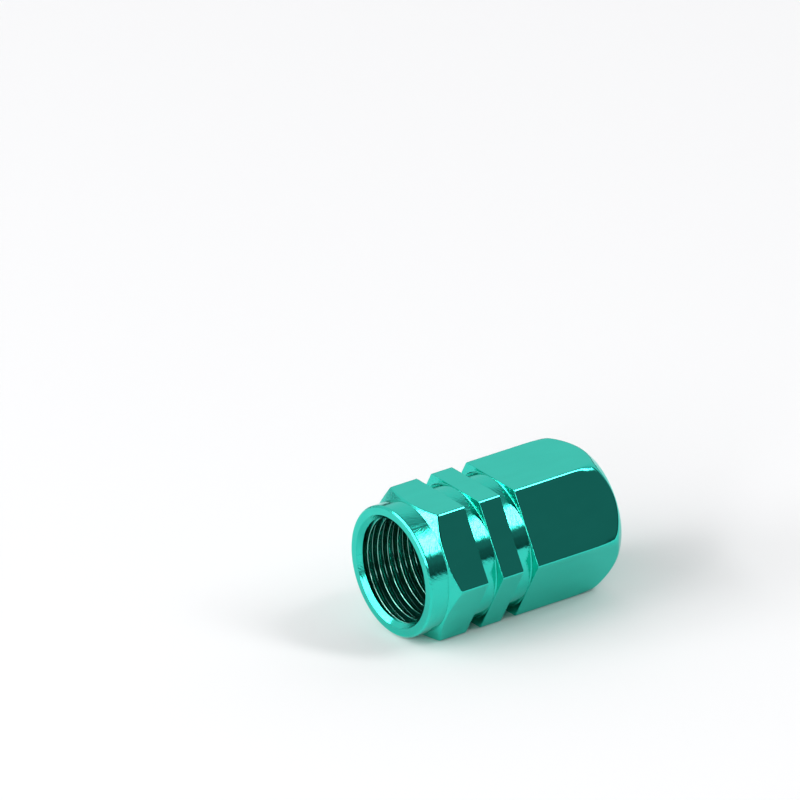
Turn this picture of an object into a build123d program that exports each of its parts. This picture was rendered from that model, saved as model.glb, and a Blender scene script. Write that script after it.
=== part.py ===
"""A tyre valve cap turned from hexagonal aluminium bar, lying on one of its flats.

+X runs along the cap from the open mouth to the closed crown, +Z is up, and the origin is on the
surface that it lies on, under the middle of the cap. All sizes are in millimetres.
"""

import os
from math import radians, tan

from build123d import *

# The bar: hexagonal, and as long as the finished cap.
across_flats = 9.0
bar_edge_round = 0.18
cap_length = 15.2

# The mouth end: a round collar, then a shallow chamfer up to the six corners.
collar_diameter = 8.8
collar_length = 1.43
collar_edge_break = 0.12
front_chamfer_angle = 31.0

# Two grooves that go round the bar, with a narrow hexagonal band left between them.
groove_count = 2
first_groove_from_mouth = 4.0
groove_width = 1.14
band_width = 1.64
groove_floor_below_flat = 0.05
groove_root_round = 0.1

# The crown: a flat round end face and a chamfer down to the corners, rounded by polishing where
# it meets the flats.
crown_diameter = 8.64
crown_chamfer_angle = 48.0
crown_edge_round = 0.3

# The bore: the valve's thread, a countersunk mouth and a relief that holds the seal.
thread_major_diameter = 7.75
thread_depth = 0.375
thread_length = 7.6
mouth_countersink = 0.3
relief_below_thread = 0.05
pin_pocket_diameter = 3.0
pin_pocket_depth = 1.6
drill_point_angle = 118.0

# The seal: a flat rubber washer behind the last turn of the thread, against the bore's floor.
seal_thickness = 1.1
seal_gap_to_thread = 0.3
seal_clearance = 0.05
seal_hole_over_pocket = 0.2

# Places and radii that follow from the sizes above. Distances are from the mouth's face.
flat_distance = across_flats / 2
stock_radius = across_flats * 0.6
collar_radius = collar_diameter / 2
crown_radius = crown_diameter / 2
groove_floor_radius = flat_distance - groove_floor_below_flat
groove_pitch = groove_width + band_width
front_chamfer_end = collar_length + (stock_radius - collar_radius) * tan(radians(front_chamfer_angle))
crown_chamfer_start = cap_length - (stock_radius - crown_radius) * tan(radians(crown_chamfer_angle))
thread_minor_radius = thread_major_diameter / 2 - thread_depth
relief_radius = thread_major_diameter / 2 + relief_below_thread
bore_floor = thread_length + seal_gap_to_thread + seal_thickness
pocket_radius = pin_pocket_diameter / 2
pocket_end = bore_floor + pin_pocket_depth
drill_tip = pocket_end + pocket_radius / tan(radians(drill_point_angle / 2))
seal_radius = relief_radius - seal_clearance
seal_hole_radius = pocket_radius + seal_hole_over_pocket

# The cap's own centre line, half the bar's width above the surface that it lies on.
mouth_centre = Vector(-cap_length / 2, 0, flat_distance)
cap_axis = Axis(mouth_centre, (1, 0, 0))
mouth_plane = Plane(origin=mouth_centre, x_dir=(0, 1, 0), z_dir=(1, 0, 0))
section_plane = Plane(origin=mouth_centre, x_dir=(1, 0, 0), z_dir=(0, -1, 0))


with BuildPart() as cap_body:
    # Hexagonal bar with two corners level with the axis, so that a flat is below and above it.
    with BuildSketch(mouth_plane) as bar_section:
        RegularPolygon(flat_distance, 6, major_radius=False)
        fillet(bar_section.vertices(), bar_edge_round)
    extrude(amount=cap_length)

    # The outline that the turning tool follows: collar, both chamfers and the crown's face.
    with BuildSketch(section_plane):
        with BuildLine():
            Polyline(
                (0, 0),
                (0, collar_radius - collar_edge_break),
                (collar_edge_break, collar_radius),
                (collar_length, collar_radius),
                (front_chamfer_end, stock_radius),
                (crown_chamfer_start, stock_radius),
                (cap_length, crown_radius),
                (cap_length, 0),
                close=True,
            )
        make_face()
    revolve(axis=cap_axis, mode=Mode.INTERSECT)

    # Polishing rounds the line on which the crown's chamfer meets the flats.
    crown_cone = cap_body.faces().filter_by(GeomType.CONE).sort_by(Axis.X)[-1]
    crown_rim = cap_body.faces().filter_by(GeomType.PLANE).sort_by(Axis.X)[-1].edges()
    fillet([edge for edge in crown_cone.edges() if edge not in crown_rim], crown_edge_round)

    # Each groove has a square bottom with the tool's nose radius in both corners.
    for number in range(groove_count):
        groove_start = first_groove_from_mouth + number * groove_pitch
        groove_middle = groove_start + groove_width / 2
        groove_depth = stock_radius - groove_floor_radius
        with BuildSketch(section_plane) as groove_section:
            with Locations((groove_middle, groove_floor_radius + groove_depth / 2)):
                Rectangle(groove_width, groove_depth)
            fillet(groove_section.vertices().group_by(Axis.Z)[0], groove_root_round)
        revolve(axis=cap_axis, mode=Mode.SUBTRACT)

    # The bore: countersink, thread's inner diameter, relief, floor, pocket for the valve's pin
    # and the cone that the drill leaves.
    with BuildSketch(section_plane):
        with BuildLine():
            Polyline(
                (0, 0),
                (0, thread_minor_radius + mouth_countersink),
                (mouth_countersink, thread_minor_radius),
                (thread_length, thread_minor_radius),
                (thread_length, relief_radius),
                (bore_floor, relief_radius),
                (bore_floor, pocket_radius),
                (pocket_end, pocket_radius),
                (drill_tip, 0),
                close=True,
            )
        make_face()
    revolve(axis=cap_axis, mode=Mode.SUBTRACT)


# The rubber washer that the valve's rim is pressed against. Wider than the thread's inner
# diameter, so the last turn of the thread keeps it in.
with BuildPart() as seal_washer:
    with BuildSketch(mouth_plane.offset(bore_floor - seal_thickness)):
        Circle(seal_radius)
        Circle(seal_hole_radius, mode=Mode.SUBTRACT)
    extrude(amount=seal_thickness)


cap_body.part.label = "cap_body"
seal_washer.part.label = "seal_washer"

os.makedirs("parts", exist_ok=True)
export_step(cap_body.part, "parts/cap_body.step")
export_step(seal_washer.part, "parts/seal_washer.step")
print("cap body", round(cap_body.part.volume, 1), "mm3, seal washer", round(seal_washer.part.volume, 1), "mm3")
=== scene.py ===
# %% [markdown]
# # A hexagonal tyre valve cap
# A metal valve cap is turned from hexagonal aluminium bar: the lathe cuts a round collar at the
# mouth, chamfers both ends, cuts two grooves round the outside and a thread inside. It is then
# polished and anodised green. A black rubber washer sits at the bottom of the thread.
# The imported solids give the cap's length and its width across the flats. The solids could be
# shown as they are, but they have a plain bore and sharp edges, so this script makes the metal
# again as one closed surface with its thread and its polished edges, and shows that instead.
# All sizes are in millimetres, as on a workshop drawing, and turn into metres only when a mesh is
# made. Places along the cap are distances from the mouth's face.

import math

import bmesh
import bpy
import numpy as np
from mathutils import Matrix, Vector


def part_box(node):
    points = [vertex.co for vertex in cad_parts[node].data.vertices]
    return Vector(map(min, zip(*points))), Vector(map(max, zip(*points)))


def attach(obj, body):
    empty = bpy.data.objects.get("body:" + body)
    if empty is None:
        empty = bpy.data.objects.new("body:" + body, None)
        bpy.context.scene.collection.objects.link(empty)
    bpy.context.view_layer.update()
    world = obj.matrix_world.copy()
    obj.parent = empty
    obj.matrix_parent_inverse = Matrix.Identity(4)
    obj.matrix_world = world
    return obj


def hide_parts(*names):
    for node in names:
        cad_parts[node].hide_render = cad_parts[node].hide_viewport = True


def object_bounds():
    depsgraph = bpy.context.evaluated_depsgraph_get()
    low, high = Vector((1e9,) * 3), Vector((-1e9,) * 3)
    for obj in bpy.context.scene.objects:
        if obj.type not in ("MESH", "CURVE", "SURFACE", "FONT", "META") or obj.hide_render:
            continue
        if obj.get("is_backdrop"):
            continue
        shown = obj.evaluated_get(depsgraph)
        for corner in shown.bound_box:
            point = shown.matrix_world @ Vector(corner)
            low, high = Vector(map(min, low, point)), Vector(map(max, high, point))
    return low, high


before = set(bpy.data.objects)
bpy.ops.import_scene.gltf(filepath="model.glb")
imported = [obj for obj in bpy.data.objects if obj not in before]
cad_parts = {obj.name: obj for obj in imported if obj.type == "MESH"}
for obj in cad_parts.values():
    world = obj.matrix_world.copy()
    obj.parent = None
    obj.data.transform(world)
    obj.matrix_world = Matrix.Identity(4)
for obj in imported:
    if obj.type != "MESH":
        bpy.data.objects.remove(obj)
solid_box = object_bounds()
body_low, body_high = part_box("cap_body")
cap_length = (body_high.x - body_low.x) * 1000
across_flats = (body_high.z - body_low.z) * 1000
print("cap", round(cap_length, 2), "mm long,", round(across_flats, 2), "mm across its flats")

# %% [markdown]
# ## Camera
# The photograph was taken from a little above, with the mouth turned towards the camera, through
# a long lens: the cap's parallel edges stay parallel. A short lens close by would make the mouth
# too large. So the camera stands far off with a long lens. It looks at a point beside the cap,
# because the cap lies below and to the right of the picture's middle.

# %% Camera
camera_azimuth = math.radians(-35.59)
camera_elevation = math.radians(25.39)
camera_roll = math.radians(-0.78)
camera_distance = 0.8665
camera_lens = 607.6
looked_at = Vector((-0.00215, 0.00633, 0.01271))

towards_camera = Vector(
    (
        math.sin(camera_azimuth) * math.cos(camera_elevation),
        -math.cos(camera_azimuth) * math.cos(camera_elevation),
        math.sin(camera_elevation),
    )
)
camera_data = bpy.data.cameras.new("camera")
camera_data.lens = camera_lens
camera_data.clip_start = 0.05
camera_data.clip_end = 20.0
camera = bpy.data.objects.new("camera", camera_data)
turn = towards_camera.to_track_quat("Z", "Y").to_matrix().to_4x4()
camera.matrix_world = (
    Matrix.Translation(looked_at + towards_camera * camera_distance)
    @ turn
    @ Matrix.Rotation(camera_roll, 4, "Z")
)
bpy.context.scene.collection.objects.link(camera)
bpy.context.scene.camera = camera
bpy.context.scene.view_settings.view_transform = "Standard"
print("camera stands at", [round(v, 3) for v in camera.location])

# %% [markdown]
# ## Hexagonal bar
# On the lathe, a bar turns while the tool follows an outline, and the tool cuts only where the
# bar reaches it. So at each angle round the axis the surface is the outline, held down to the
# bar's own radius at that angle: round where the tool cut, flat where it didn't. A boolean of two
# solids would give the same shape with poor edges. Worked out angle by angle, the outline keeps
# every edge in a row of its own, and each edge can be rounded.
# So the bar's radius at an angle comes first. A hexagon's six corners would be sharp, but drawn
# bar has small rounded ones, which show as bright lines between the flats.

# %% Sizes of the bar
flat_distance = across_flats / 2
bar_edge_round = 0.18
print("bar: its flats lie", round(flat_distance, 2), "mm from the axis")


# %% The bar's radius at an angle
def corner_reach(edge_round):
    """Angle from a corner to where its rounding meets the flat.

    It is half a side's angle less the angle whose tangent is the flat part's half width divided
    by the flat's distance.
    """
    return math.pi / 6 - math.atan((flat_distance - edge_round) * math.tan(math.pi / 6) / flat_distance)


def bar_radius(angle, edge_round):
    """Distance from the axis to the hexagonal bar's surface.

    On a flat it is the flat's distance divided by the cosine of the angle from the flat's middle.
    Near a corner it is the far crossing of the ray with the small circle that rounds the corner.
    """
    from_corner = (angle + math.pi / 6) % (math.pi / 3) - math.pi / 6
    on_flat = flat_distance / np.cos(math.pi / 6 - np.abs(from_corner))
    centre = (flat_distance - edge_round) / math.cos(math.pi / 6)
    under_root = edge_round**2 - (centre * np.sin(from_corner)) ** 2
    on_round = centre * np.cos(from_corner) + np.sqrt(np.maximum(under_root, 0))
    return np.where(np.abs(from_corner) < corner_reach(edge_round), on_round, on_flat)


# %% Angles round the axis, closer together near the corners
reach = corner_reach(bar_edge_round)
stops = [0, reach, math.radians(6), math.radians(54), math.pi / 3 - reach, math.pi / 3]
strips = [4, 6, 22, 6, 4]
one_side = np.concatenate(
    [np.linspace(low, high, count, endpoint=False) for low, high, count in zip(stops, stops[1:], strips)]
)
angles = np.concatenate([one_side + side * math.pi / 3 for side in range(6)] + [[2 * math.pi]])
bar = bar_radius(angles, bar_edge_round)
print(len(angles) - 1, "strips round the axis; the bar is", round(2 * bar.max(), 2), "mm across its corners")

# %% [markdown]
# ## Rounded outline
# The outline is a list of corners with straight lines between them. Polishing rounds an outside
# edge much more than the root of a groove, so each corner has a radius of its own. Blender's
# bevel could round the finished mesh, but it stumbles where an edge runs out into a flat, as the
# front chamfer's arches do. Rounding the outline before it is turned has no such places.


# %% Round the corners of an outline
def rounded_outline(corners, radii, steps=4):
    """Rows of points along an outline whose corners are replaced by arcs.

    corners is a list of (distance, radius) pairs, and radii has the rounding of each corner but
    the first and last. All of them are numbers or one value per angle. Each arc is tangent to
    both of its lines: it starts its radius times the tangent of half the turn before the corner,
    or 0.45 of the shorter line if that is less. Between its two ends the arc is the weighted mean
    of first end, corner and last end, which is an exact piece of a circle when the corner's
    weight is the cosine of half the turn. A corner with no radius stays as it is.
    """
    points = np.stack([np.stack(np.broadcast_arrays(*corner, bar)[:2], -1) for corner in corners])
    line = points[1:] - points[:-1]
    length = np.linalg.norm(line, axis=-1, keepdims=True)
    along = line / np.maximum(length, 1e-9)
    rows = [points[:1]]
    share = np.linspace(0, 1, steps + 1)[:, None, None]
    for i, radius in enumerate(radii, start=1):
        if not np.any(radius):
            rows.append(points[i : i + 1])
            continue
        radius = np.reshape(radius, (-1, 1))
        cosine = np.clip((along[i - 1] * along[i]).sum(-1, keepdims=True), -0.9999, 1)
        half_turn = np.arccos(cosine) / 2
        cut_back = np.minimum(radius * np.tan(half_turn), 0.45 * np.minimum(length[i - 1], length[i]))
        first = points[i] - along[i - 1] * cut_back
        last = points[i] + along[i] * cut_back
        weight = 2 * share * (1 - share) * np.cos(half_turn)
        total = (1 - share) ** 2 + weight + share**2
        rows.append(((1 - share) ** 2 * first + weight * points[i] + share**2 * last) / total)
    rows.append(points[-1:])
    return np.concatenate(rows)


# %% [markdown]
# ## Crown
# The closed end is a flat face with a chamfer down to the flats, which it meets in six arches.
# It was held longest against the polishing wheel, so there the bar's corners are much rounder.
# Their radius grows with the square of the distance into the last few millimetres. The arches
# could have one radius all round, but the wheel also wears them most at the corners.

# %% Sizes of the crown
crown_radius = 4.32
crown_chamfer_angle = math.radians(48)
crown_rim_round = 0.2
crown_arch_round = 0.3
crown_corner_arch_round = 1.0
crown_corner_round = 0.8
# Distances from the crown's face: where the polish starts, where it is full, and the rows that
# lead the corners from one to the other.
crown_polish_starts = 2.7
crown_polish_full = 0.8
crown_rings = (1.65, 1.9, 2.2, 2.5, 2.8)
print("crown: end face", 2 * crown_radius, "mm across, polished over", crown_polish_starts, "mm")


# %% The bar's radius near the crown
def bar_near_crown(from_crown):
    """The bar's radius at each angle, for a place that far from the crown.

    The corners' rounding is the bar's own plus the rest times the square of a share, which grows
    evenly from none where the polish starts to one where it is full.
    """
    share = (crown_polish_starts - from_crown) / (crown_polish_starts - crown_polish_full)
    share = min(max(share, 0), 1)
    return bar_radius(angles, bar_edge_round + (crown_corner_round - bar_edge_round) * share**2)


# %% Outline of the crown, from the middle of its face
corner_share = (bar - flat_distance) / (bar.max() - flat_distance)
arch_round = crown_arch_round + (crown_corner_arch_round - crown_arch_round) * corner_share**2
crown_bar = bar_near_crown(crown_polish_full)
crown_arch = cap_length - (crown_bar - crown_radius) * math.tan(crown_chamfer_angle)
outline = [(cap_length, 0), (cap_length, crown_radius), (crown_arch, crown_bar)]
edge_radii = [crown_rim_round, arch_round]
for from_crown in crown_rings:
    outline.append((cap_length - from_crown, bar_near_crown(from_crown)))
    edge_radii.append(0)
print("crown: the chamfer ends", round(cap_length - crown_arch.min(), 2), "mm from the face at the corners")

# %% [markdown]
# ## Grooves, front chamfer, collar and mouth
# Both grooves are square cuts that go just under the flats, so a narrow hexagonal band is left
# between them. Before the first groove the bar is chamfered, which gives each flat an arch, and
# then turned down to a round collar. The mouth has a countersink that leads the valve in. Each of
# these could be cut from a finished bar with a boolean. Here each is a few more corners of the
# same outline, and nothing has to be cut or joined.

# %% Outline of the two grooves, the one nearer to the crown first
first_groove_start = 4.0
groove_width = 1.14
band_width = 1.64
groove_below_flat = 0.05
groove_lip_round = 0.05
groove_root_round = 0.1

groove_floor_radius = flat_distance - groove_below_flat
for groove in (1, 0):
    start = first_groove_start + groove * (groove_width + band_width)
    end = start + groove_width
    outline += [(end, bar), (end, groove_floor_radius), (start, groove_floor_radius), (start, bar)]
    edge_radii += [groove_lip_round, groove_root_round, groove_root_round, groove_lip_round]
    print("groove from", round(start, 2), "to", round(end, 2), "mm")

# %% Outline of the chamfer, the collar and the mouth
front_chamfer_angle = math.radians(31)
collar_radius = 4.4
collar_length = 1.43
collar_edge_break = 0.12
countersink_radius = 3.8
countersink_end = 0.3
chamfer_lip_round = 0.2
collar_rim_round = 0.12
small_break = 0.03

# One more row just before the countersink's inner end keeps its shading even up to the thread.
near_thread = countersink_end - 0.015
front_arch = collar_length + (bar - collar_radius) * math.tan(front_chamfer_angle)
outline += [
    (front_arch, bar),
    (collar_length, collar_radius),
    (collar_edge_break, collar_radius),
    (0, collar_radius - collar_edge_break),
    (0, countersink_radius),
    (near_thread, countersink_radius - near_thread),
    (countersink_end, countersink_radius - countersink_end),
]
edge_radii += [chamfer_lip_round, small_break, collar_rim_round, small_break, small_break, 0]
outside = rounded_outline(outline, edge_radii)
print("outside:", len(outside), "rows")

# %% [markdown]
# ## Thread
# A thread is one groove that runs round the bore as a helix. Rings stacked along the axis would
# look nearly the same from here, but their turns would be closed circles. So the rows of this
# part of the surface climb with the helix: each row stays at one place on the thread's profile
# and moves forward by one pitch in a turn. At both ends the rows stop at a plain ring, where the
# groove has run out. The first turns show best and hold the groove's start, so they have three
# times as many rows as the others.

# %% Sizes of the thread
thread_start = countersink_end
thread_end = 7.6
thread_pitch = 0.794
# The share of a turn by which the whole thread is turned round the axis.
thread_phase = 0.52
thread_minor_radius = 3.5
thread_major_radius = 3.875
thread_flank_angle = math.radians(22)
thread_crest_share = 0.26
thread_crest_round = 0.04
thread_root_round = 0.06
thread_run_in = 0.2
thread_run_out = 0.4
thread_arc_steps = 3
dense_turns = 4
print("thread:", round((thread_end - thread_start) / thread_pitch, 1), "turns of", thread_pitch, "mm")


# %% Corners of the thread
def thread_corners():
    """Corners (distance, radius) of the threaded wall, their roundings, and the corners in a turn.

    One turn of the profile is a flat crest, a flank that falls, a flat root and a flank that
    rises. A corner's distance is the thread's start plus the pitch times (whole turns + place in
    the profile + share of a turn at this angle). The list has more turns than fit between the
    thread's ends, and starts and ends with a plain point that lies further out still.
    """
    depth = thread_major_radius - thread_minor_radius
    flank = depth * math.tan(thread_flank_angle) / thread_pitch
    crest = thread_crest_share
    profile = [(0, 0), (crest, 0), (crest + flank, depth), (1 - flank, depth)]
    turns = math.ceil((thread_end - thread_start) / thread_pitch) + 1
    share = angles / (2 * math.pi) + thread_phase
    corners, rounds = [(thread_start - 3 * thread_pitch, thread_minor_radius)], []
    for turn in range(-2, turns):
        for along, down in profile:
            corners.append((thread_start + (turn + along + share) * thread_pitch, thread_minor_radius + down))
            rounds.append(thread_root_round if down else thread_crest_round)
    corners.append((thread_end + 3 * thread_pitch, thread_minor_radius))
    return corners, rounds, len(profile)


def denser_start(rows, rows_per_turn):
    """The same rows, with two more on each line of the first turns.

    The added rows lie at one third and two thirds of their line. In the last of these turns they
    draw in to the line's first end over one turn, so that every point at the seam still meets
    another one.
    """
    dense = 1 + dense_turns * rows_per_turn
    last_turn = np.arange(dense)[:, None, None] >= dense - rows_per_turn
    fade = np.where(last_turn, 1 - angles[:, None] / (2 * math.pi), 1)
    lines = rows[1 : dense + 1] - rows[:dense]
    between = [rows[:dense] + part * fade * lines for part in (0, 1 / 3, 2 / 3)]
    return np.concatenate([np.stack(between, 1).reshape(-1, *rows.shape[1:]), rows[dense:]])


# %% Rows of the thread
def thread_rows():
    """Rows (distance, radius) of the threaded wall.

    The rounded corners' distances are held between both ends of the thread. The groove's depth is
    scaled from none to full over the run-in, and back to none over the run-out. A row that falls
    together with the one before it at every angle is left out.
    """
    corners, rounds, corners_per_turn = thread_corners()
    rows = rounded_outline(corners, rounds, steps=thread_arc_steps)
    rows = denser_start(rows, (thread_arc_steps + 1) * corners_per_turn)
    distance = np.clip(rows[..., 0], thread_start, thread_end)
    run_in = np.clip((distance - thread_start) / thread_run_in, 0, 1)
    run_out = np.clip((thread_end - distance) / thread_run_out, 0, 1)
    radius = thread_minor_radius + (rows[..., 1] - thread_minor_radius) * run_in * run_out
    rows = np.stack([distance, radius], -1)
    moves = np.abs(np.diff(rows, axis=0)).max(axis=(1, 2)) > 1e-6
    return rows[np.concatenate([[True], moves])]


thread = thread_rows()
print("thread:", len(thread), "rows")

# %% [markdown]
# ## Bottom of the bore
# Behind the thread the bore widens into a relief that holds the washer. A pocket in its floor
# leaves room for the valve's pin, and ends in the cone that the drill's point leaves. It is seen
# at most through the washer's hole, but the surface has to close somewhere, and the real bore's
# own floor is the plainest way.

# %% Bottom of the bore, from the end of the thread to the drill's point
relief_radius = 3.925
bore_floor = 9.0
pocket_radius = 1.5
pocket_end = 10.6
drill_half_angle = math.radians(59)
bottom_break = 0.05

drill_tip = pocket_end + pocket_radius / math.tan(drill_half_angle)
bottom = rounded_outline(
    [
        (thread_end, thread_minor_radius),
        (thread_end, relief_radius),
        (bore_floor, relief_radius),
        (bore_floor, pocket_radius),
        (pocket_end, pocket_radius),
        (drill_tip, 0),
    ],
    [bottom_break] * 4,
    steps=3,
)
print("bore:", round(drill_tip, 2), "mm deep,", len(bottom), "rows at its bottom")

# %% [markdown]
# ## From rows to a mesh
# Each row is a closed line round the axis, and neighbouring rows are joined by four-sided faces.
# Blender could turn a drawn profile with its screw tool, but here the profile changes with the
# angle. The last column repeats the first one, and the thread's rows meet there one pitch
# further on, so points that fall together are merged, which closes the surface.

# %% How close together points are merged, in metres
merge_distance = 2e-8
print("points closer than", merge_distance * 1000, "mm become one")


# %% Mesh of a turned surface
def turned_mesh(name, rows, **point_values):
    """Closed mesh from rows of (distance, radius) for each angle.

    A point lies at x = distance - half the cap's length, y = radius times cosine of the angle,
    z = the axis's height + radius times sine. The axis lies as high as the flats are away from
    it. Each of point_values has a number for every point, which is stored under its own name.
    """
    count, columns = rows.shape[:2]
    distance, radius = rows[..., 0], rows[..., 1]
    x = distance - cap_length / 2
    points = np.stack([x, radius * np.cos(angles), flat_distance + radius * np.sin(angles)], -1)
    order = np.arange(count * columns).reshape(count, columns)
    corners = [order[:-1, :-1], order[1:, :-1], order[1:, 1:], order[:-1, 1:]]
    faces = np.stack(corners, -1).reshape(-1, 4)
    mesh = bpy.data.meshes.new(name)
    mesh.from_pydata((points.reshape(-1, 3) / 1000).tolist(), [], faces.tolist())
    for value_name, values in point_values.items():
        mesh.attributes.new(value_name, "FLOAT", "POINT")
        mesh.attributes[value_name].data.foreach_set("value", values.ravel().astype(np.float32))
    close_seams(mesh)
    return mesh


def close_seams(mesh):
    """Merges points that fall together, and turns every face outwards."""
    work = bmesh.new()
    work.from_mesh(mesh)
    bmesh.ops.remove_doubles(work, verts=work.verts, dist=merge_distance)
    bmesh.ops.recalc_face_normals(work, faces=work.faces)
    work.to_mesh(mesh)
    open_edges = sum(1 for edge in work.edges if len(edge.link_faces) != 2)
    volume = round(work.calc_volume(signed=True) * 1e9, 1)
    work.free()
    print(mesh.name, len(mesh.polygons), "faces,", open_edges, "open edges, volume", volume, "mm3")


# %% [markdown]
# A large flat next to a narrow rounded edge would look dented if every face counted alike in the
# shading. Blender has a modifier for this, Weighted Normal. Worked out here it is one sum over
# all faces, and the finished mesh keeps it: each point's shading direction is the mean of its
# faces' directions weighted by their area.


# %% Shading and placing
def shade_by_area(mesh):
    """Sets each point's shading direction to the sum of its faces' directions times their areas."""
    mesh.polygons.foreach_set("use_smooth", np.ones(len(mesh.polygons), bool))
    directions = np.zeros(len(mesh.polygons) * 3)
    areas = np.zeros(len(mesh.polygons))
    mesh.polygons.foreach_get("normal", directions)
    mesh.polygons.foreach_get("area", areas)
    loop_point = np.zeros(len(mesh.loops), int)
    loop_total = np.zeros(len(mesh.polygons), int)
    mesh.loops.foreach_get("vertex_index", loop_point)
    mesh.polygons.foreach_get("loop_total", loop_total)
    weighted = np.repeat(directions.reshape(-1, 3) * areas[:, None], loop_total, 0)
    total = np.zeros((len(mesh.vertices), 3))
    np.add.at(total, loop_point, weighted)
    total /= np.maximum(np.linalg.norm(total, axis=1, keepdims=True), 1e-30)
    mesh.normals_split_custom_set_from_vertices(total.tolist())


def place(name, mesh, node):
    """Puts a finished mesh in the scene in place of a solid."""
    shade_by_area(mesh)
    piece = bpy.data.objects.new(name, mesh)
    bpy.context.scene.collection.objects.link(piece)
    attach(piece, "root")
    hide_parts(node)
    return piece


# %% [markdown]
# ## Metal body
# The outside, the thread and the bottom of the bore follow each other as one list of rows, so
# the body is one closed surface, as the real cap is one piece of metal. Its material has to know
# where a tool has cut and where the thread's groove and edges are. That could be guessed from
# places in space, but the rows know it exactly, so it is stored at their points.

# %% Depths that count as cut, groove and edge
full_cut_depth = 0.02
crown_fade_length = 3
least_marks = 0.2
dark_groove_depth = 0.2
marked_thread_start = 0.4
# Depths below the crest: where the edge starts, over what it grows, where it ends, over what it
# fades.
crest_edge = (0, 0.003, 0.024, 0.01)
root_edge = (0.345, 0.008, 0.3735, 0.002)
root_edge_share = 0.45
print("edges of the thread, mm below its crest:", crest_edge[::2], root_edge[::2])


# %% Numbers that the metal's material reads
def lathe_marks(rows):
    """tool_path and tool_cut for each point.

    tool_path is the length of the outline up to each row, in millimetres, which a lathe tool
    travels. tool_cut is one where the point lies below the bar's surface, so that a tool has cut
    there, and none on the bar. It fades towards the crown, where the marks are polished away.
    """
    steps = np.linalg.norm(np.diff(rows, axis=0), axis=-1)
    travelled = np.concatenate([np.zeros((1, rows.shape[1])), np.cumsum(steps, 0)])
    below_bar = np.clip((bar - rows[..., 1]) / full_cut_depth, 0, 1)
    from_crown = np.clip((cap_length - rows[..., 0]) / crown_fade_length, least_marks, 1)
    return {"tool_path": travelled, "tool_cut": below_bar * from_crown}


def edge_band(depth, low, rise, high, fall):
    """None outside the depths low and high and one between, with slopes rise and fall wide."""
    return np.clip((depth - low) / rise, 0, 1) * np.clip((high - depth) / fall, 0, 1)


def thread_marks(rows):
    """thread_groove and thread_edge for each point.

    thread_groove grows with the depth below the thread's crest, from none to one. thread_edge is
    one on the rounded edge of each crest that faces the mouth, and less at the root below it.
    """
    distance, radius = rows[..., 0], rows[..., 1]
    depth = radius - thread_minor_radius
    in_bore = (distance > marked_thread_start) & (distance < thread_end)
    threaded = in_bore & (radius < thread_major_radius + 0.01)
    groove = np.clip(depth / dark_groove_depth, 0, 1) * threaded
    edges = edge_band(depth, *crest_edge) + root_edge_share * edge_band(depth, *root_edge)
    faces_mouth = np.gradient(radius, axis=0) < -1e-4
    return {"thread_groove": groove, "thread_edge": edges * faces_mouth * threaded}


# %% The metal body
body_rows = np.concatenate([outside, thread, bottom])
body_mesh = turned_mesh("turned_body", body_rows, **lathe_marks(body_rows), **thread_marks(body_rows))
body = place("turned_body", body_mesh, "cap_body")

# %% [markdown]
# ## Washer
# The washer is punched or moulded from black rubber. It is a flat ring with slightly rounded
# edges. A cylinder with a hole and a bevel would do, but the functions for the body turn a
# rounded rectangle just as well.

# %% The rubber washer
washer_thickness = 1.1
washer_radius = 3.875
washer_hole_radius = 1.7
washer_back_round = 0.08
washer_front_round = 0.12

washer_front = bore_floor - washer_thickness
washer_middle = (washer_radius + washer_hole_radius) / 2
washer_rows = rounded_outline(
    [
        (bore_floor, washer_middle),
        (bore_floor, washer_hole_radius),
        (washer_front, washer_hole_radius),
        (washer_front, washer_radius),
        (bore_floor, washer_radius),
        (bore_floor, washer_middle),
    ],
    [washer_back_round, washer_front_round, washer_front_round, washer_back_round],
)
washer = place("rubber_washer", turned_mesh("rubber_washer", washer_rows), "seal_washer")

# %% [markdown]
# ## Building a material
# A material is a small net of nodes: each works out a number or a colour from others. Drawn by
# hand in Blender's shader editor it is quick to try out, but hard to read later. Written with a
# few helpers, each line says what it works out.


# %% Helpers that fill a node and calculate
def fill(tree, node, **sockets):
    """Gives a node's sockets their values: another node's output is linked, a number is set."""
    for name, value in sockets.items():
        socket = node.inputs[name.replace("_", " ")]
        if isinstance(value, bpy.types.NodeSocket):
            tree.links.new(value, socket)
        else:
            socket.default_value = value
    return node


def number(tree, operation, first, second=0.0, third=0.0):
    """One sum, product or other calculation with numbers or sockets, as a socket."""
    node = tree.nodes.new("ShaderNodeMath")
    node.operation = operation
    for socket, value in zip(node.inputs, (first, second, third)):
        if isinstance(value, bpy.types.NodeSocket):
            tree.links.new(value, socket)
        else:
            socket.default_value = value
    return node.outputs[0]


# %% Helpers for places, noise and colours
def stored(tree, name):
    """A number that is stored at the mesh's points under a name, as a socket."""
    node = tree.nodes.new("ShaderNodeAttribute")
    node.attribute_name = name
    return node.outputs["Fac"]


def places(tree, factor):
    """The three Object coordinates, each in metres times the factor, as sockets."""
    where = tree.nodes.new("ShaderNodeTexCoord")
    split = fill(tree, tree.nodes.new("ShaderNodeSeparateXYZ"), Vector=where.outputs["Object"])
    return [number(tree, "MULTIPLY", split.outputs[axis], factor) for axis in "XYZ"]


def grain(tree, x, y, z, detail):
    """Noise at a place given by three numbers, between about 0.3 and 0.7."""
    spot = fill(tree, tree.nodes.new("ShaderNodeCombineXYZ"), X=x, Y=y, Z=z)
    noise = tree.nodes.new("ShaderNodeTexNoise")
    fill(tree, noise, Vector=spot.outputs[0], Scale=1.0, Detail=detail, Roughness=0.5)
    return noise.outputs[0]


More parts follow.
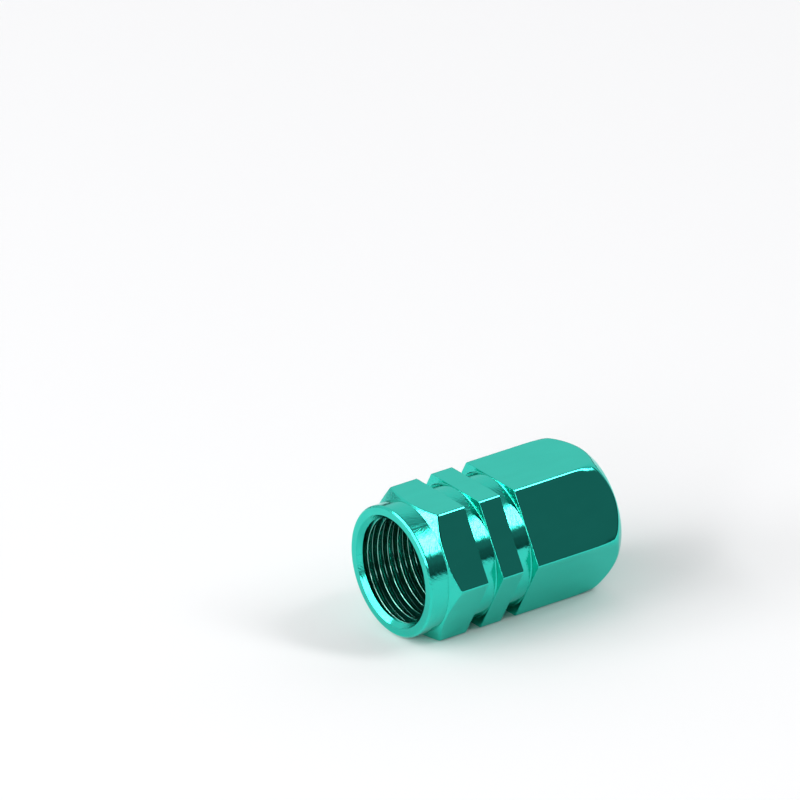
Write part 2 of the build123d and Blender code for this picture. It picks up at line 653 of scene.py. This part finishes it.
def mixed_colour(tree, factor, first, second):
    """First colour where the factor is none, second where it is one. Each may be a socket."""
    mix = tree.nodes.new("ShaderNodeMix")
    mix.data_type = "RGBA"
    fill(tree, mix, Factor=factor, A=first, B=second)
    return mix.outputs["Result"]


# %% [markdown]
# ## Anodised finish
# Anodising grows a thin clear layer of oxide on the aluminium and dyes it. The metal under it
# reflects in the dye's colour, and the layer's own surface adds a weak white reflection that
# grows at flat angles, which is why the upper flat looks greyer than the rest. So the shader is
# a green metal under a clear coat. Paint would be a coloured plastic under a coat, and would
# lose the dark, sharp reflections. A tint keeps the metal green also where it is seen edge on,
# where a bare metal would turn white.
# The thread looks dark, because in its groove light meets the dye several times. Its edges that
# face the mouth catch the light as thin pale lines, which so fine a thread would lose between two
# pixels. So the colour is darker in the groove, which is painted shade, and paler on these edges,
# which is a painted highlight.

# %% Colours of the dye, with painted shade for the thread's groove and a painted highlight for its edges
deep_green = (0.021, 0.58, 0.463, 1)
light_green = (0.026, 0.64, 0.51, 1)
# Painted shade: the dark colour that the thread's groove is given.
painted_groove_shade = (0.004, 0.06, 0.045, 1)
# Painted highlight: the pale colour on the thread's edges that face the mouth.
painted_edge_highlight = (0.36, 0.72, 0.64, 1)
edge_on_tint = (0.55, 0.9, 0.88, 1)
groove_shade_share = 0.6
patch_scale = 0.4
print("dye between", deep_green[:3], "and", light_green[:3])


# %% The dyed metal's colour
def dyed_colour(tree, x, y, z, groove, highlight_edge):
    """Two near greens in wide patches, with painted shade in the thread's groove and a painted highlight on
    its edges that face the mouth.

    The patches are noise whose places are in millimetres, times 0.4 along the cap.
    """
    patches = grain(tree, number(tree, "MULTIPLY", x, patch_scale), y, z, 1.0)
    dye = mixed_colour(tree, patches, deep_green, light_green)
    # Painted shade: the dye is darkened in the thread's groove.
    darker = mixed_colour(tree, number(tree, "MULTIPLY", groove, groove_shade_share), dye, painted_groove_shade)
    # Painted highlight: the thread's edges that face the mouth turn pale green.
    return mixed_colour(tree, highlight_edge, darker, painted_edge_highlight)


# %% [markdown]
# Polishing leaves the surface smooth but for faint marks that run round the axis, which break up
# the edges of the reflections on the collar and in the grooves. The flats have fainter ones along
# the bar, from the die that it was drawn through. They are far too fine for the mesh, so bump
# tilts the shading a little instead.

# %% Sizes of the marks, and the roughness that they bring
tool_marks_across = 9.0
tool_marks_round = 1.8
drawn_marks_across = 4.0
drawn_marks_along = 0.5
drawn_marks_share = 0.12
mark_height = 1.1e-5
polished_roughness = 0.045
turned_roughness = 0.03
mark_roughness = 0.06
groove_roughness = 0.14
print("marks of the tool:", round(1 / tool_marks_across, 2), "mm wide")


# %% Marks in the metal's surface
def metal_marks(tree, x, y, z, cut):
    """The tool's marks, and the whole surface's height, as two sockets.

    The tool's marks are noise whose places are the tool's path times nine and the position round
    the axis times 1.8, all in millimetres: streaks a tenth of a millimetre wide, about five times
    as long. On the drawn flats the noise runs along the bar and is far weaker.
    """
    across = number(tree, "MULTIPLY", stored(tree, "tool_path"), tool_marks_across)
    round_y, round_z = (number(tree, "MULTIPLY", part, tool_marks_round) for part in (y, z))
    tool_marks = grain(tree, across, round_y, round_z, 2.0)
    along_x = number(tree, "MULTIPLY", x, drawn_marks_along)
    drawn_y, drawn_z = (number(tree, "MULTIPLY", part, drawn_marks_across) for part in (y, z))
    drawn_marks = number(tree, "MULTIPLY", grain(tree, along_x, drawn_y, drawn_z, 2.0), drawn_marks_share)
    height = fill(tree, tree.nodes.new("ShaderNodeMix"), Factor=cut, A=drawn_marks, B=tool_marks)
    return tool_marks, height.outputs["Result"]


# %% Green anodised aluminium
def anodised_aluminium():
    """Green metal under a clear layer, with marks round the axis where a tool has cut.

    Its roughness is 0.045, plus 0.03 and 0.06 times the tool's marks where a tool has cut, plus
    0.14 in the thread's groove but for its edges that face the mouth.
    """
    material = bpy.data.materials.new("green_anodised")
    material.use_nodes = True
    tree = material.node_tree
    shader = tree.nodes["Principled BSDF"]
    x, y, z = places(tree, 1000)
    cut, groove, highlight_edge = (stored(tree, name) for name in ("tool_cut", "thread_groove", "thread_edge"))
    tool_marks, height = metal_marks(tree, x, y, z, cut)
    bump = fill(tree, tree.nodes.new("ShaderNodeBump"), Height=height, Distance=mark_height)
    haze = number(tree, "MULTIPLY_ADD", tool_marks, mark_roughness, turned_roughness)
    polished = number(tree, "MULTIPLY_ADD", cut, haze, polished_roughness)
    dull = number(tree, "SUBTRACT", groove, highlight_edge)
    dull.node.use_clamp = True
    roughness = number(tree, "MULTIPLY_ADD", dull, groove_roughness, polished)
    # The colour holds painted shade in the thread's groove and a painted highlight on its edges.
    colour = dyed_colour(tree, x, y, z, groove, highlight_edge)
    fill(tree, shader, Base_Color=colour, Roughness=roughness)
    fill(tree, shader, Normal=bump.outputs[0], Coat_Normal=bump.outputs[0])
    shader.inputs["Metallic"].default_value = 1.0
    shader.inputs["Specular Tint"].default_value = edge_on_tint
    shader.inputs["Coat Weight"].default_value = 0.35
    shader.inputs["Coat IOR"].default_value = 1.5
    shader.inputs["Coat Roughness"].default_value = 0.03
    print(material.name, "has", len(tree.nodes), "nodes")
    return material


body.data.materials.append(anodised_aluminium())

# %% [markdown]
# ## Black rubber
# The washer's rubber is black with soot, and its surface is a cast of its mould: a fine grain,
# with patches that shine a little less. An even dark colour would do at this size, but would look
# like plastic from close by.

# %% Shades and grain of the rubber
soot_black = (0.012, 0.012, 0.013, 1)
dusty_black = (0.03, 0.03, 0.029, 1)
mould_grain_scale = 12000
dusty_patch_scale = 1500
mould_grain_height = 6e-6
rubber_roughness = 0.4
patch_roughness = 0.3
print("rubber: its grain is", round(1000 / mould_grain_scale, 3), "mm wide")


# %% Black rubber
def black_rubber():
    """Dark rubber with the faint grain of its mould, and slightly duller patches.

    The grain is noise at places in twelfths of a millimetre, and the patches at places in two
    thirds of one. The roughness is 0.4 plus 0.3 times the patches.
    """
    material = bpy.data.materials.new("black_rubber")
    material.use_nodes = True
    tree = material.node_tree
    shader = tree.nodes["Principled BSDF"]
    mould_grain = grain(tree, *places(tree, mould_grain_scale), 3.0)
    patches = grain(tree, *places(tree, dusty_patch_scale), 2.0)
    bump = fill(tree, tree.nodes.new("ShaderNodeBump"), Height=mould_grain, Distance=mould_grain_height)
    shade = mixed_colour(tree, patches, soot_black, dusty_black)
    roughness = number(tree, "MULTIPLY_ADD", patches, patch_roughness, rubber_roughness)
    fill(tree, shader, Base_Color=shade, Roughness=roughness, Normal=bump.outputs[0])
    print(material.name, "has", len(tree.nodes), "nodes")
    return material


washer.data.materials.append(black_rubber())

# %% [markdown]
# ## Table
# Polished metal looks like what stands round it, so the studio decides this picture as much as
# the metal does. The cap lies on a white table. A white background without a table would be
# simpler, but the cap would seem to float: a plain pale plane takes its shadow, and is mirrored
# in the lower flat and in the ring of the mouth.


# %% Floor
def studio_floor(half_width, below_cap, white):
    """A level square of dull near-white, a hair's breadth below the cap."""
    material = bpy.data.materials.new("pale_floor")
    material.use_nodes = True
    shader = material.node_tree.nodes["Principled BSDF"]
    shader.inputs["Base Color"].default_value = white
    shader.inputs["Roughness"].default_value = 0.9
    shader.inputs["Specular IOR Level"].default_value = 0.0
    sides = [(-1, -1), (1, -1), (1, 1), (-1, 1)]
    mesh = bpy.data.meshes.new("floor")
    mesh.from_pydata([(half_width * x, half_width * y, -below_cap) for x, y in sides], [], [(0, 1, 2, 3)])
    mesh.materials.append(material)
    floor = bpy.data.objects.new("floor", mesh)
    bpy.context.scene.collection.objects.link(floor)
    floor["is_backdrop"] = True
    print("floor", 2 * half_width, "m wide")


studio_floor(half_width=3.0, below_cap=2e-5, white=(0.92, 0.92, 0.93, 1))

# %% [markdown]
# ## Lamps
# Softboxes are large even lamps, and most are placed where a face of the cap mirrors them to the
# camera. A tall one at the right, brighter in its middle, is the bright patch on the collar and
# in both grooves. At the left, a large one lights the mouth's side, and a brighter one under it
# is mirrored by the front chamfer. Two strips there are the bright crescent in the countersink of
# the mouth, and a small lamp beside them touches the edges of the thread. The softbox above
# mostly lights the table. Point lamps would light the table as well, but the metal would mirror
# them as dots.


# %% Softboxes
def softbox(name, azimuth, elevation, width, height, radiance, roll=0.0, away=0.9):
    """A rectangular lamp that faces the cap. Its watts are radiance x pi x its area.

    azimuth and elevation are the direction in which the cap sees it, and roll turns it about that
    direction, all in degrees. Its width, height and distance away are in metres.
    """
    azimuth, elevation = math.radians(azimuth), math.radians(elevation)
    towards = Vector(
        (
            math.cos(azimuth) * math.cos(elevation),
            math.sin(azimuth) * math.cos(elevation),
            math.sin(elevation),
        )
    )
    data = bpy.data.lights.new(name, "AREA")
    data.shape = "RECTANGLE"
    data.size, data.size_y = width, height
    data.energy = radiance * math.pi * width * height
    lamp = bpy.data.objects.new(name, data)
    lamp.matrix_world = (
        Matrix.Translation(towards * away)
        @ towards.to_track_quat("Z", "Y").to_matrix().to_4x4()
        @ Matrix.Rotation(math.radians(roll), 4, "Z")
    )
    bpy.context.scene.collection.objects.link(lamp)
    print(name, round(data.energy, 2), "W")


softbox("tall_softbox_right", -40.6, 46.2, 0.22, 0.64, 1.2, roll=-27)
softbox("bright_middle_right", -41.6, 45.2, 0.12, 0.45, 11.0, roll=-27, away=0.85)
softbox("large_softbox_left", 168, 32, 0.9, 0.34, 0.9)
softbox("level_strip_left", 153, 42.2, 0.7, 0.09, 8.0, roll=7, away=0.85)
softbox("bright_middle_left", 161, 16, 0.42, 0.13, 14.0, roll=-14, away=0.85)
softbox("slanting_strip_left", 198, 27, 0.62, 0.14, 6.0, roll=-43, away=0.85)
softbox("small_lamp_left", 225, 21, 0.22, 0.18, 5.0, away=0.85)
softbox("softbox_above", 120, 74, 0.7, 0.7, 0.2)

# %% [markdown]
# ## Room
# The room's walls are bright and its ceiling is darker. The side from which the picture is taken
# is dark, darkest behind the camera, and the right flat mirrors it. A dark band at the horizon
# deepens the stripe that the collar and the grooves mirror above the pale table. A picture of a
# studio could be wrapped round the scene. Here the world's colour is worked out from the direction
# alone, so every band is a pair of numbers that can be moved.

# %% Greys of the room, and the directions that its dark parts face
wall_grey = 0.84
ceiling_grey = 0.27
dark_wall_grey = 0.10
dark_ceiling_grey = 0.17
behind_camera_grey = 0.03
horizon_grey = 0.06
up = (0, 0, 1)
dark_side_middle = (0.34, -0.94, 0)
behind_camera_middle = (-0.42, -0.62, 0.66)
print("room: greys from", behind_camera_grey, "to", wall_grey)


# %% Helpers for the room
def facing(tree, direction, axis, low, high):
    """0 where the direction's part along axis is below low, 1 above high, smooth between."""
    dot = tree.nodes.new("ShaderNodeVectorMath")
    dot.operation = "DOT_PRODUCT"
    dot.inputs[1].default_value = Vector(axis).normalized()
    tree.links.new(direction, dot.inputs[0])
    ramp = tree.nodes.new("ShaderNodeMapRange")
    ramp.interpolation_type = "SMOOTHSTEP"
    fill(tree, ramp, Value=dot.outputs["Value"], From_Min=low, From_Max=high)
    return ramp.outputs["Result"]


def grey(value):
    """A grey as the four numbers of a colour."""
    return (value, value, value, 1)


# %% Room
def studio_world():
    """The room's grey in every direction, as layers that each cover the ones before.

    The walls change into the ceiling, the dark side and the place behind the camera lie over
    them, and the horizon's band lies over all.
    """
    world = bpy.data.worlds.new("studio")
    world.use_nodes = True
    bpy.context.scene.world = world
    tree = world.node_tree
    tree.nodes.clear()
    look = tree.nodes.new("ShaderNodeTexCoord").outputs["Generated"]
    high_up = facing(tree, look, up, 0.70, 0.87)
    half_up = facing(tree, look, up, 0.22, 0.38)
    above_horizon = facing(tree, look, up, 0.05, 0.16)
    dark_side = facing(tree, look, dark_side_middle, 0.40, 0.56)
    behind_camera = facing(tree, look, behind_camera_middle, 0.84, 0.93)
    bright = mixed_colour(tree, high_up, grey(wall_grey), grey(ceiling_grey))
    dark = mixed_colour(tree, half_up, grey(dark_wall_grey), grey(dark_ceiling_grey))
    room = mixed_colour(tree, dark_side, bright, dark)
    room = mixed_colour(tree, behind_camera, room, grey(behind_camera_grey))
    room = mixed_colour(tree, above_horizon, grey(horizon_grey), room)
    background = fill(tree, tree.nodes.new("ShaderNodeBackground"), Color=room)
    output = tree.nodes.new("ShaderNodeOutputWorld")
    fill(tree, output, Surface=background.outputs["Background"])
    print(world.name, "has", len(tree.nodes), "nodes")


studio_world()

# %% Compare the dressed cap with the solids and finish
dressed_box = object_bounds()
differences = [abs(a - b) for old, new in zip(solid_box, dressed_box) for a, b in zip(old, new)]
print("largest difference from the solids' box:", max(differences) * 1000, "mm")
